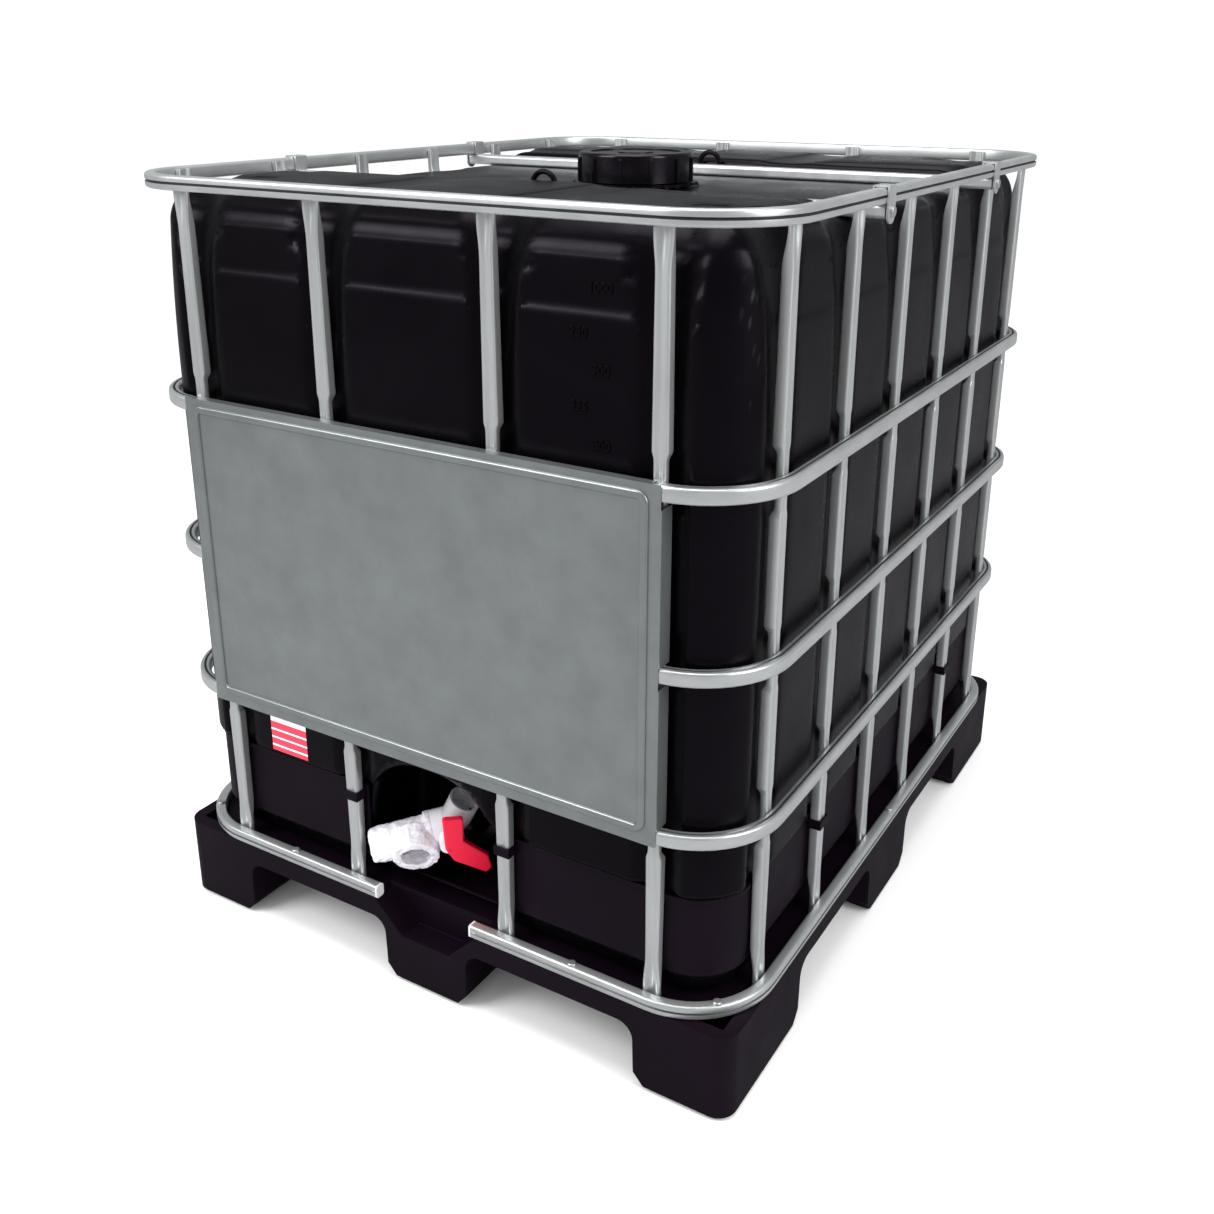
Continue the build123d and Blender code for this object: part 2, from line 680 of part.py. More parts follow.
# ---------------------------------------------------------------- label plate
def build_label_plate():
    t = plate_sheet
    half = outer_front_x + tube_width / 2 + plate_side_gap + t
    front = -half_y - plate_gap - t
    low = lower_ring_z - ring_height / 2 - plate_gap - t
    high = upper_ring_z + ring_height / 2 + plate_gap + t
    back = front + t + plate_flange_depth
    pan = block(-half, half, front, back, low, high)
    pan = fillet(pan.edges().filter_by(Axis.Z).filter_by(lambda e: e.center().Y < front + 1), plate_bend)
    room = block(-half + t, half - t, front + t, back + 1, low + t, high - t)
    inner_bend = room.edges().filter_by(Axis.Z).filter_by(lambda e: e.center().Y < front + t + 1)
    pan -= fillet(inner_bend, plate_bend - t)
    # top and bottom hems are shallower than the side flanges
    hem_back = front + t + plate_hem
    pan -= block(-half - 1, half + 1, hem_back, back + 1, high - t - 0.01, high + 1)
    pan -= block(-half - 1, half + 1, hem_back, back + 1, low - 1, low + t + 0.01)
    # side flanges are notched around the rings; the hems stop short of the corners
    for z in (upper_ring_z, middle_ring_z, lower_ring_z):
        z0 = z - ring_height / 2 - plate_notch
        z1 = z + ring_height / 2 + plate_gap
        if z == upper_ring_z:
            z1 = high + 1
        if z == lower_ring_z:
            z0 = low - 1
        for side in (-1, 1):
            xa, xb = sorted((side * (half - t - plate_notch_width), side * (half + 1)))
            pan -= block(xa, xb, front + t + plate_gap / 2, back + 1, z0, z1)
    bead_x = half - plate_bead_inset
    bead_low = low + plate_bead_inset
    bead_high = high - plate_bead_inset + plate_bead_top_shift
    centre = Plane((0, front, (bead_low + bead_high) / 2), x_dir=(1, 0, 0), z_dir=(0, -1, 0))
    bead_height = bead_high - bead_low
    w = plate_bead_width
    outline = RectangleRounded(2 * bead_x + w, bead_height + w, plate_bead_corner)
    outline -= RectangleRounded(2 * bead_x - w, bead_height - w, plate_bead_corner - w)
    bead = extrude(outline, plate_bead_height)
    bead = fillet(bead.faces().sort_by(Axis.Z)[-1].edges(), plate_bead_height - plate_bead_flat)
    pan += centre * bead
    write("label_plate", pan)


# ---------------------------------------------------------------- tube clips
def build_clips():
    """Tray clips that wrap the uprights beside the valve and near each end of the sides."""
    t = clip_thickness
    clear = clip_clearance
    reach = tube_depth + tray_gap - lip_proud - clear
    wide = tube_width / 2 + clear + t
    clip = block(-wide, wide, -reach - clear - t, 0, -clip_height / 2, clip_height / 2)
    clip -= block(-tube_width / 2 - clear, tube_width / 2 + clear, -reach - clear, 1, -20, 20)
    clips = []
    for x in (front_tube_x[1], front_tube_x[2]):
        for turn in (0, 180):
            place = Rotation(0, 0, turn) * Location((x, -tray_y - lip_proud - clear, clip_z))
            clips.append(place * clip)
    for y in (side_tube_y[1], side_tube_y[-2]):
        for turn in (90, -90):
            along = y if turn > 0 else -y
            place = Rotation(0, 0, turn) * Location((along, -tray_x - lip_proud - clear, clip_z))
            clips.append(place * clip)
    write("tube_clips", Compound(children=clips))


# ---------------------------------------------------------------- drain valve
neck_face = recess_y - outlet_length
flange_back = neck_face - outlet_gasket
flange_front = flange_back - inlet_flange
bend_point = Vector(0, flange_front - elbow_reach, outlet_z)
flow = Vector(-1, -1, -0.2).normalized()
stem_axis = Vector(1, -1, 0).normalized()
ball_centre = bend_point + flow * ball_offset
valve_frame = Plane(origin=ball_centre, x_dir=flow, z_dir=stem_axis)
branch_dir = Vector(0.16, 0.40, 0.90).normalized()   # in the valve's frame: out and down
bonnet_dir = Vector(0.457, 0, 0.889).normalized()    # in the container's frame: up, leaning right
chamber_end = -(chamber_radius + chamber_back)       # back of the housing along the flow
seal_groove = stem_radius + running_gap + 2 * seal_rod


def local_x(radius, x0, x1):
    """A cylinder along the valve's flow, in the valve's frame."""
    return Location(((x0 + x1) / 2, 0, 0), (0, 90, 0)) * Cylinder(radius, x1 - x0)


def local_z(radius, z0, z1):
    """A cylinder along the valve's stem, in the valve's frame."""
    return Location((0, 0, (z0 + z1) / 2)) * Cylinder(radius, z1 - z0)


def pointed(origin, direction, radius, start, end):
    """A cylinder from start to end along any direction."""
    plane = Plane(origin=origin, z_dir=direction)
    return plane * Location((0, 0, (start + end) / 2)) * Cylinder(radius, end - start)


def build_inlet_elbow():
    """The flanged elbow between the bottle's outlet and the valve's housing."""
    elbow = along_y_tube(spout_radius, bend_point.Y, flange_front + 1, 0, outlet_z)
    elbow += Location(bend_point) * Sphere(spout_radius)
    elbow += valve_frame * local_x(spout_radius, -ball_offset, chamber_end)
    elbow -= valve_frame * local_x(housing_radius, chamber_end, 0)
    elbow -= along_y_tube(nut_radius, flange_back, flange_back + 2 * spout_radius, 0, outlet_z)
    elbow += along_y_tube(inlet_flange_radius, flange_front, flange_back, 0, outlet_z)
    elbow -= valve_frame * local_x(elbow_bore, -ball_offset, 0)
    elbow -= Location(bend_point) * Sphere(elbow_bore)
    elbow -= along_y_tube(elbow_bore, bend_point.Y, flange_back + 1, 0, outlet_z)
    write("inlet_elbow", elbow)


def build_valve_body():
    """The housing around the ball, with the boss that guides the stem."""
    body = local_x(housing_radius, chamber_end, housing_front)
    body = chamfer(body.faces().sort_by(Axis.X)[0].edges(), housing_bevel)
    body += local_z(boss_radius, 0, boss_top)
    body -= local_x(chamber_radius, -ball_radius, housing_front + 1)
    body -= local_x(elbow_bore, chamber_end - 1, 0)
    body -= local_z(stem_radius + running_gap, 0, boss_top + 1)
    shoulder_room = chamber_radius + shoulder_clearance
    body -= local_z(stem_shoulder_radius + shoulder_clearance, 0, shoulder_room)
    body -= local_z(seal_groove, seal_z - seal_rod, seal_z + seal_rod)
    write("valve_body", valve_frame * body)


def build_union_nut():
    """The nut that pulls the elbow's flange onto the bottle's outlet, and the gasket between them."""
    nut_back = recess_y - nut_wall_gap
    nut_front = flange_front - nut_lip
    gap = nut_clearance
    nut = along_y_tube(nut_radius, nut_front, nut_back, 0, outlet_z)
    nut -= along_y_tube(inlet_flange_radius + gap, flange_front, nut_back + 1, 0, outlet_z)
    nut -= along_y_tube(spout_radius + gap, nut_front - 1, nut_back + 1, 0, outlet_z)
    nut -= valve_frame * local_x(spout_radius + gap, -ball_offset, 0)
    write("union_nut", nut)
    gasket = along_y_tube(outlet_radius, flange_back, neck_face, 0, outlet_z)
    gasket -= along_y_tube(outlet_bore, flange_back - 1, neck_face + 1, 0, outlet_z)
    write("inlet_gasket", gasket)


def build_ball():
    """The ball, closed at rest, its two seats, and the stem that turns it."""
    ball = Sphere(ball_radius) - Cylinder(ball_bore, 3 * ball_radius, rotation=(90, 0, 0))
    slot_z = ball_radius - tang_depth
    tang = Location((0, 0, slot_z + tang_depth / 2)) * Box(tang_length, tang_width, tang_depth)
    ball -= tang
    write("valve_ball", valve_frame * ball)
    seats = []
    for side in (-1, 1):
        x0, x1 = sorted((side * (ball_radius - seat_length), side * ball_radius))
        seat = local_x(chamber_radius - running_gap, x0, x1) - local_x(ball_bore, x0 - 1, x1 + 1)
        seats.append(valve_frame * (seat - Rotation(0, 90, 0) * Sphere(ball_radius + running_gap)))
    write("ball_seats", Compound(children=seats))
    stem = local_z(stem_radius, ball_radius, stem_top)
    stem += local_z(stem_shoulder_radius, ball_radius + running_gap, chamber_radius)
    stem += tang
    stem -= local_z(lever_screw_radius, stem_top - lever_screw_depth, stem_top + 1)
    write("valve_stem", valve_frame * stem)
    seal = Location((0, 0, seal_z)) * Torus(stem_radius + running_gap + seal_rod, seal_rod)
    write("stem_seal", valve_frame * seal)


def build_spout():
    """The front barrel with its closed end and the open outlet branch."""
    barrel = local_x(spout_radius, housing_front, spout_length)
    barrel = fillet(barrel.faces().sort_by(Axis.X)[-1].edges(), spout_edge)
    barrel += local_x(housing_radius, housing_front, housing_front + spout_collar)
    base = (branch_place, 0, 0)
    barrel += pointed(base, branch_dir, branch_radius, 0, branch_reach)
    barrel -= local_x(housing_radius + joint_clearance, 0, housing_front)
    barrel -= local_x(spout_radius - spout_wall, housing_front - 1, spout_length - spout_wall)
    barrel -= pointed(base, branch_dir, branch_bore, branch_floor, branch_reach + 1)
    write("valve_spout", valve_frame * barrel)


def build_bonnet():
    """An open translucent socket that stands on the housing."""
    base = ball_centre - flow * bonnet_shift
    floor = housing_radius + bonnet_floor
    gap = joint_clearance
    socket = pointed(base, bonnet_dir, bonnet_radius, bonnet_base, bonnet_top)
    socket -= pointed(base, bonnet_dir, bonnet_radius - bonnet_wall, floor, bonnet_top + 1)
    socket -= valve_frame * local_x(housing_radius, chamber_end, housing_front + spout_collar)
    socket -= valve_frame * local_x(spout_radius + gap, -ball_offset, 0)
    socket -= Location(bend_point) * Sphere(spout_radius + gap)
    socket -= along_y_tube(spout_radius + gap, bend_point.Y, flange_front + 1, 0, outlet_z)
    socket -= valve_frame * local_z(boss_radius + gap, 0, lever_bottom)
    nut_front = flange_front - nut_lip - nut_clearance
    socket -= along_y_tube(nut_radius + nut_clearance, nut_front, recess_y, 0, outlet_z)
    write("valve_bonnet", socket.solids().sort_by(SortBy.VOLUME)[-1])


def build_lever():
    """The angled hand lever, drawn with x along the flow and y down, and its sunk screw."""
    outline = [(3, -52), (-27, -46), (-21, -9), (-52, 25), (-54, 47), (-44, 53), (-2, 20), (7, -2)]
    face = Face(Wire.make_polygon([(x, y, 0) for x, y in outline], close=True))
    face = fillet(face.vertices(), lever_corner)
    top = lever_bottom + lever_thickness
    head_bottom = top - lever_screw_head_height
    lever = Location((0, 0, lever_bottom)) * extrude(face, lever_thickness, dir=(0, 0, 1))
    lever = fillet(lever.faces().sort_by(Axis.Z)[-1].edges(), lever_edge)
    lever -= local_z(stem_radius + joint_clearance, lever_bottom - 1, stem_top)
    lever -= local_z(lever_screw_radius, stem_top - 1, top)
    lever -= local_z(lever_screw_head, head_bottom, top + 1)
    write("valve_lever", valve_frame * lever)
    screw = local_z(lever_screw_head, head_bottom, top)
    screw += local_z(lever_screw_radius, stem_top - lever_screw_depth, head_bottom + 1)
    slot = Location((0, 0, top)) * Box(lever_screw_head, screw_slot, 2 * screw_slot)
    write("lever_screw", valve_frame * (screw - slot))


build_rings()
build_end_caps()
build_uprights()
build_ring_screws()
build_pallet()
build_deck()
build_tray()
build_bottle()
build_sticker()
build_lid()
build_bars()
build_hooks()
build_loops()
build_label_plate()
build_clips()
build_inlet_elbow()
build_valve_body()
build_union_nut()
build_ball()
build_spout()
build_bonnet()
build_lever()
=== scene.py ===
"""Looks for the bulk container: finer meshes, materials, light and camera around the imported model.

Metres, in the model's own frame: +X right along the front, +Y to the back, +Z up.
"""

import json
from itertools import product
from math import cos, pi, radians, sin, sqrt

import bpy
import numpy as np
from mathutils import Matrix, Vector, noise


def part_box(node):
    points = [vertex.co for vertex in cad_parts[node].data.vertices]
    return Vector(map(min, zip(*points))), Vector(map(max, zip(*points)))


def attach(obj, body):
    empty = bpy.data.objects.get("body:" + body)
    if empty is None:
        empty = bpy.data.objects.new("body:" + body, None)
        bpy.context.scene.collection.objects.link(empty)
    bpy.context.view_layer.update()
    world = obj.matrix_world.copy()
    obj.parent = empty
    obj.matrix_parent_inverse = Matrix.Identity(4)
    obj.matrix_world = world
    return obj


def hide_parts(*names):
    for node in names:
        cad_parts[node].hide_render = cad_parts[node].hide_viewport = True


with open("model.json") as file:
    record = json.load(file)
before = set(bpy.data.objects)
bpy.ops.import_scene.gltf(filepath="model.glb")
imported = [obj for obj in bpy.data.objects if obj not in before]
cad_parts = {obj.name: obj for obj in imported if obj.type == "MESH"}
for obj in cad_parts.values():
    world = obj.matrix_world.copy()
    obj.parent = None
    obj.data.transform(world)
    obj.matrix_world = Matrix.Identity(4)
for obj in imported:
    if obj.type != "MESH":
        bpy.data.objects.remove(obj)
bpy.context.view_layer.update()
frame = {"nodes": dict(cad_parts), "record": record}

CONTAINER = "container"
NODES = frame["nodes"]

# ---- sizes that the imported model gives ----
top_low, top_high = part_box("top_ring")
RING_HEIGHT = top_high.z - top_low.z
HALF_X = top_high.x
HALF_Y = top_high.y
RING_DEPTH = 0.016
RING_CORNER = 0.128
RING_EDGE = 0.004
RING_CORNER_STEPS = 14
BOTTOM_RING_GAP = 0.176
MIDDLE_RINGS = ("upper_ring", "middle_ring", "lower_ring")
RINGS = ("top_ring", *MIDDLE_RINGS, "bottom_ring")


def middle(node):
    low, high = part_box(node)
    return (low + high) / 2


RING_Z = {node: middle(node).z for node in RINGS}


# ---------------------------------------------------------------- meshes
def piece(name, points, faces, material, replaces=(), body=CONTAINER, smooth=True):
    """A mesh object that rides on a body and stands for the CAD nodes it names."""
    mesh = bpy.data.meshes.new(name)
    mesh.from_pydata([tuple(map(float, p)) for p in points], [], [tuple(map(int, f)) for f in faces])
    mesh.validate()
    mesh.update()
    mesh.polygons.foreach_set("use_smooth", [smooth] * len(mesh.polygons))
    mesh.materials.append(material)
    made = bpy.data.objects.new(name, mesh)
    bpy.context.scene.collection.objects.link(made)
    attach(made, body)
    if replaces:
        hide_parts(*replaces)
    return made


def keep_creases(made, angle=35):
    """Shades edges sharper than the angle as creases."""
    mesh = made.data
    mesh.set_sharp_from_angle(angle=radians(angle))


def loft(rows, closed_rows=False, capped=True):
    """Points and faces of a skin over rows of points; each row is a closed loop."""
    rows = np.asarray(rows, float)
    count, size = rows.shape[:2]
    points = rows.reshape(-1, 3)
    faces = []
    for i in range(count if closed_rows else count - 1):
        a = i * size
        b = ((i + 1) % count) * size
        for j in range(size):
            k = (j + 1) % size
            faces.append((a + j, a + k, b + k, b + j))
    if capped and not closed_rows:
        faces.append(tuple(range(size - 1, -1, -1)))
        last = (count - 1) * size
        faces.append(tuple(range(last, last + size)))
    return points, faces


def rounded_outline(width, depth, radius, steps=4):
    """A rounded rectangle's outline as (across, out) pairs, anticlockwise."""
    outline = []
    for turn, (sx, sy) in enumerate(((1, 1), (-1, 1), (-1, -1), (1, -1))):
        for step in range(steps + 1):
            angle = (turn + step / steps) * pi / 2
            x = sx * (width / 2 - radius) + radius * cos(angle)
            y = sy * (depth / 2 - radius) + radius * sin(angle)
            outline.append((x, y))
    return outline


# ---- steel rings ----
SEAM_HALF = 0.0011
SEAM_MOUTH = SEAM_HALF * 1.6
SEAM_DEPTH = 0.0024
SEAM_WAIST = SEAM_DEPTH * 0.6


def ring_section(seam):
    """The ring tube's section as (out, up) pairs, and which of its sides are the rolled seam."""
    section = rounded_outline(RING_DEPTH, RING_HEIGHT, RING_EDGE)
    groove = [(SEAM_MOUTH, 0), (SEAM_HALF, -SEAM_WAIST), (0, -SEAM_DEPTH), (-SEAM_HALF, -SEAM_WAIST),
              (-SEAM_MOUTH, 0)]
    if seam == "outside":
        start = len(section)
        line = [(RING_DEPTH / 2 + sink, -along) for along, sink in groove]
    else:
        start = len(section) // 4
        line = [(along, RING_HEIGHT / 2 + sink) for along, sink in groove]
    return section[:start] + line + section[start:], range(start, start + len(groove) - 1)


def ring_path(gap):
    """Places along the ring's centre line as (x, y, outward x, outward y), anticlockwise."""
    inner_x = HALF_X - RING_CORNER
    inner_y = HALF_Y - RING_CORNER
    reach = RING_CORNER - RING_DEPTH / 2
    path = []
    for turn, (sx, sy) in enumerate(((1, -1), (1, 1), (-1, 1), (-1, -1))):
        for step in range(RING_CORNER_STEPS + 1):
            angle = -pi / 2 + (turn + step / RING_CORNER_STEPS) * pi / 2
            nx, ny = cos(angle), sin(angle)
            path.append((sx * inner_x + reach * nx, sy * inner_y + reach * ny, nx, ny))
    if gap:
        front = -(HALF_Y - RING_DEPTH / 2)
        path = [(gap / 2, front, 0, -1)] + path + [(-gap / 2, front, 0, -1)]
    return path


def make_ring(node, material):
    """One ring's tube; its seam's faces get a darker steel, painted shade for the shadow in the rolled
    seam's groove.
    """
    section, groove = ring_section("top" if node in MIDDLE_RINGS else "outside")
    size = len(section)
    gap = BOTTOM_RING_GAP if node == "bottom_ring" else 0
    z = RING_Z[node]
    rows = []
    for x, y, nx, ny in ring_path(gap):
        rows.append([(x + out * nx, y + out * ny, z + up) for out, up in section])
    points, faces = loft(rows, closed_rows=not gap)
    made = piece(node + "_tube", points, faces, material, [node])
    # The seam's groove faces get a far darker steel: painted shade standing for the shadow in the groove.
    made.data.materials.append(SEAM_PAINTED_SHADE)
    dark = [int(index % size in groove and index < len(rows) * size) for index in range(len(faces))]
    made.data.polygons.foreach_set("material_index", dark)
    keep_creases(made)


# ---- steel uprights ----
TUBE_EDGE = 0.0034
# over a ring the tube is pinched, with a small bulge above and below the pinch
PINCH_REACH = 0.038
PINCH_STEP = 0.007
PINCH_DEPTH = 0.0042
PINCH_NARROWING = 0.003
PINCH_LEVELS = 9
BULGE_AWAY = PINCH_REACH + 0.006
BULGE_REACH = 0.008
BULGE_WIDTH = 0.0026
BULGE_DEPTH = 0.0012
# at its ends the tube is flattened, widened and fluted
FLUTE_HEIGHT = 0.046
FLUTE_EASE = 0.022
FLUTE_STRETCH = FLUTE_HEIGHT + 0.03
FLUTE_LEVELS = 12
FLUTE_DEPTH = 0.0045
FLUTE_WIDENING = 0.006
FLUTE_FLATTENING = 0.007
# between them its wide faces are slightly sunk
FACE_SINK = 0.0013
FACE_STEPS = 8
BACK_SHARE = 0.4


def ease(value, low, high):
    """0 below low, 1 above high, smooth between."""
    t = np.clip((value - low) / (high - low), 0, 1)
    return t * t * (3 - 2 * t)


def tube_levels(low, high):
    """Heights of the tube's sections: close together where it is pinched or fluted."""
    levels = [low, high]
    for node in MIDDLE_RINGS:
        for side in (-1, 1):
            edge = RING_Z[node] + side * PINCH_REACH
            levels += list(np.linspace(edge - PINCH_STEP, edge + PINCH_STEP, PINCH_LEVELS))
        levels.append(RING_Z[node])
    levels += list(np.linspace(low, low + FLUTE_STRETCH, FLUTE_LEVELS))
    levels += list(np.linspace(high - FLUTE_STRETCH, high, FLUTE_LEVELS))
    return sorted(set(round(v, 5) for v in levels))


def tube_row(z, low, high, width, depth):
    """One section of an upright as (across, out) pairs; out is 0 at the face that meets the rings."""
    pinch = 0.0
    bulge = 0.0
    for node in MIDDLE_RINGS:
        away = abs(z - RING_Z[node])
        pinch = max(pinch, 1 - ease(away, PINCH_REACH - PINCH_STEP, PINCH_REACH + PINCH_STEP))
        bulge = max(bulge, 1 - abs(away - BULGE_AWAY) / BULGE_REACH)
    end = min(z - low, high - z)
    flute = 1 - ease(end, FLUTE_HEIGHT - FLUTE_EASE, FLUTE_HEIGHT + FLUTE_EASE)
    wide = width - PINCH_NARROWING * pinch + BULGE_WIDTH * bulge + FLUTE_WIDENING * flute
    deep = depth - PINCH_DEPTH * pinch + BULGE_DEPTH * bulge - FLUTE_FLATTENING * flute
    row = [(across, out - deep / 2) for across, out in rounded_outline(wide, deep, TUBE_EDGE)]
    shaped = []
    size = len(row)
    for index, (across, out) in enumerate(row):
        shaped.append((across, out))
        after = row[(index + 1) % size]
        if abs(across - after[0]) > wide / 3:
            front = out > -deep / 2
            for share in np.linspace(0, 1, FACE_STEPS + 1)[1:-1]:
                u = across + (after[0] - across) * share
                channel = 0.5 - 0.5 * cos(2 * pi * share)
                sink = channel * (FACE_SINK * (1 - flute) + FLUTE_DEPTH * flute)
                shaped.append((u, out + (-sink if front else sink * BACK_SHARE)))
    return shaped


def make_upright(node, material):
    """One upright, its wide face against the rings."""
    low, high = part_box(node)
    centre = (low + high) / 2
    along_x = (high.x - low.x) > (high.y - low.y)
    width = (high.x - low.x) if along_x else (high.y - low.y)
    depth = (high.y - low.y) if along_x else (high.x - low.x)
    rows = []
    for z in tube_levels(low.z, high.z):
        row = tube_row(z, low.z, high.z, width, depth)
        if along_x:
            side = 1 if centre.y > 0 else -1
            face = high.y if side > 0 else low.y
            rows.append([(centre.x - side * across, face + side * out, z) for across, out in row])
        else:
            side = 1 if centre.x > 0 else -1
            face = high.x if side > 0 else low.x
            rows.append([(face + side * out, centre.y + side * across, z) for across, out in row])
    points, faces = loft(rows)
    made = piece(node + "_steel", points, faces, material, [node])
    keep_creases(made, 40)


# ---- moulded skins from a distance field ----
def round_max(a, b, radius):
    """The larger of two distances, with their crossing rounded."""
    both = np.sqrt(np.maximum(a + radius, 0) ** 2 + np.maximum(b + radius, 0) ** 2)
    return both + np.minimum(np.maximum(a + radius, b + radius), 0) - radius


def flat_box(u, v, half_u, half_v, corner):
    """Distance in a plane to a rounded rectangle."""
    du = np.abs(u) - (half_u - corner)
    dv = np.abs(v) - (half_v - corner)
    outside = np.sqrt(np.maximum(du, 0) ** 2 + np.maximum(dv, 0) ** 2)
    return outside + np.minimum(np.maximum(du, dv), 0) - corner


def grid_lines(stops):
    """Lines from (end, spacing) stretches starting at zero, mirrored below it."""
    lines = [0.0]
    for end, spacing in stops:
        start = lines[-1]
        steps = max(1, round((end - start) / spacing))
        lines += [start + (end - start) * (i + 1) / steps for i in range(steps)]
    return np.array([-v for v in lines[:0:-1]] + lines)


SLOPE_REACH = 0.0004
LEAST_SLOPE = 0.05
SETTLING_ROUNDS = 8


def skin(field, xs, ys, zs):
    """Points and outward quads of the field's zero level, one point per crossed cell."""
    gx, gy, gz = np.meshgrid(xs, ys, zs, indexing="ij")
    inside = field(gx, gy, gz) < 0
    count = np.zeros([n - 1 for n in inside.shape], int)
    for i, j, k in product((0, 1), repeat=3):
        count += inside[i:i + count.shape[0], j:j + count.shape[1], k:k + count.shape[2]]
    crossed = (count > 0) & (count < 8)
    index = np.full(crossed.shape, -1)
    index[crossed] = np.arange(crossed.sum())
    i, j, k = np.nonzero(crossed)
    low = np.stack([xs[i], ys[j], zs[k]], 1)
    high = np.stack([xs[i + 1], ys[j + 1], zs[k + 1]], 1)
    spots = (low + high) / 2
    for _ in range(SETTLING_ROUNDS):
        value = field(*spots.T)
        slope = np.zeros_like(spots)
        for axis in range(3):
            step = np.zeros(3)
            step[axis] = SLOPE_REACH
            slope[:, axis] = (field(*(spots + step).T) - field(*(spots - step).T)) / (2 * SLOPE_REACH)
        size = np.maximum((slope ** 2).sum(1), LEAST_SLOPE)
        spots = np.clip(spots - (value / size)[:, None] * slope, low, high)
    quads = []
    for axis in range(3):
        within = np.moveaxis(inside, axis, 0)
        cells = np.moveaxis(index, axis, 0)
        a, b, c = np.nonzero(within[:-1, 1:-1, 1:-1] != within[1:, 1:-1, 1:-1])
        around = [cells[a, b, c], cells[a, b + 1, c], cells[a, b + 1, c + 1], cells[a, b, c + 1]]
        quad = np.stack(around, 1)
        flip = ~within[a, b + 1, c + 1] ^ (axis == 1)
        quad[flip] = quad[flip][:, ::-1]
        quads.append(quad)
    return spots, np.concatenate(quads)


# ---- bottle ----
LOBE_X = 0.474
LOBE_Y = 0.574
LOBE_CORNER = 0.088
LOBE_BOTTOM = 0.303
LOBE_BOTTOM_ROUND = 0.006
FACING_BLEND = 0.06
RIDGE_TOP = 1.154
PLATEAU_TOP = 1.127
PLATEAU_EDGE = 0.264
PLATEAU_ROUND = 0.012
SHOULDER = 0.056
LEAN = 0.011
LEAN_START = 0.88
LEAN_HEIGHT = 0.26
GROOVE_HALF = 0.040
GROOVE_DEPTH = 0.0115
GROOVE_TOP_DIP = 0.004
FLARE = 0.5
FLARE_BOTTOM = 1.02
FLARE_TOP = 1.15
FOOT_X = 0.457
FOOT_Y = 0.557
FOOT_CORNER = 0.070
FOOT_TOP = LOBE_BOTTOM + 0.05
FOOT_TOP_ROUND = 0.002
FOOT_ROUND = 0.020
BOTTLE_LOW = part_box("bottle")[0].z
RECESS_HALF = 0.120
RECESS_TOP = 0.361
RECESS_CORNER = 0.108
RECESS_LOWEST = 0.15
RECESS_Y = -0.455
RECESS_BACK_ROUND = 0.020
RECESS_EDGE_ROUND = 0.010
NECK_RADIUS = 0.080
NECK_BORE = 0.073
NECK_MIDDLE = 1.12
NECK_HALF_HEIGHT = 0.048
NECK_FLANGE = 0.097
NECK_FLANGE_Z = 1.132
NECK_FLANGE_HALF = 0.002
BORE_FLOOR = 0.30
OUTLET_RADIUS = 0.029
OUTLET_Y = -0.446
OUTLET_Z = 0.232
OUTLET_HALF_LENGTH = 0.015
FRONT_TUBES = [middle(f"front_tube_{i}").x for i in range(1, 5)]
SIDE_TUBES = [middle(f"left_tube_{i}").y for i in range(1, 7)]


def channel_depth(across, places, flare):
    """How deep the channels behind the uprights are; flare widens them towards the top."""
    depth = np.zeros_like(across)
    for place in places:
        away = np.clip(np.abs(across - place) / (GROOVE_HALF * (1 + flare)), 0, 1)
        depth = np.maximum(depth, 0.5 + 0.5 * np.cos(pi * away ** 1.4))
    return depth


def bottle_field(x, y, z):
    """About how far a place lies outside the bottle; below zero in its plastic or its hollow body."""
    lobe_step = LOBE_Y - LOBE_X
    facing_y = ease(np.abs(y) - np.abs(x), lobe_step - FACING_BLEND, lobe_step + FACING_BLEND)
    flare = FLARE * ease(z, FLARE_BOTTOM, FLARE_TOP)
    channel = facing_y * channel_depth(x, FRONT_TUBES, flare)
    channel = channel + (1 - facing_y) * channel_depth(y, SIDE_TUBES, flare)
    wall = flat_box(x, y, LOBE_X, LOBE_Y, LOBE_CORNER) + GROOVE_DEPTH * channel
    wall = wall + LEAN * np.clip((z - LEAN_START) / LEAN_HEIGHT, 0, 1) ** 2
    body = round_max(wall, z - RIDGE_TOP + GROOVE_TOP_DIP * channel, SHOULDER)
    plateau = round_max(np.abs(y) - PLATEAU_EDGE, PLATEAU_TOP - z, PLATEAU_ROUND)
    body = round_max(body, -plateau, PLATEAU_ROUND)
    body = round_max(body, LOBE_BOTTOM - z, LOBE_BOTTOM_ROUND)

    foot = round_max(flat_box(x, y, FOOT_X, FOOT_Y, FOOT_CORNER), z - FOOT_TOP, FOOT_TOP_ROUND)
    foot = round_max(foot, BOTTLE_LOW - z, FOOT_ROUND)
    body = np.minimum(body, foot)

    arch_z = np.maximum(z, RECESS_LOWEST) - RECESS_TOP + RECESS_HALF * 2
    arch = flat_box(x, arch_z, RECESS_HALF, RECESS_HALF * 2, RECESS_CORNER)
    arch = round_max(arch, y - RECESS_Y, RECESS_BACK_ROUND)
    body = round_max(body, -arch, RECESS_EDGE_ROUND)

    around = np.sqrt(x * x + y * y)
    neck = np.maximum(around - NECK_RADIUS, np.abs(z - NECK_MIDDLE) - NECK_HALF_HEIGHT)
    flange = np.maximum(around - NECK_FLANGE, np.abs(z - NECK_FLANGE_Z) - NECK_FLANGE_HALF)
    body = np.minimum(body, np.minimum(neck, flange))
    outlet = np.sqrt(x * x + (z - OUTLET_Z) ** 2) - OUTLET_RADIUS
    body = np.minimum(body, np.maximum(outlet, np.abs(y - OUTLET_Y) - OUTLET_HALF_LENGTH))
    return np.maximum(body, -np.maximum(around - NECK_BORE, BORE_FLOOR - z))


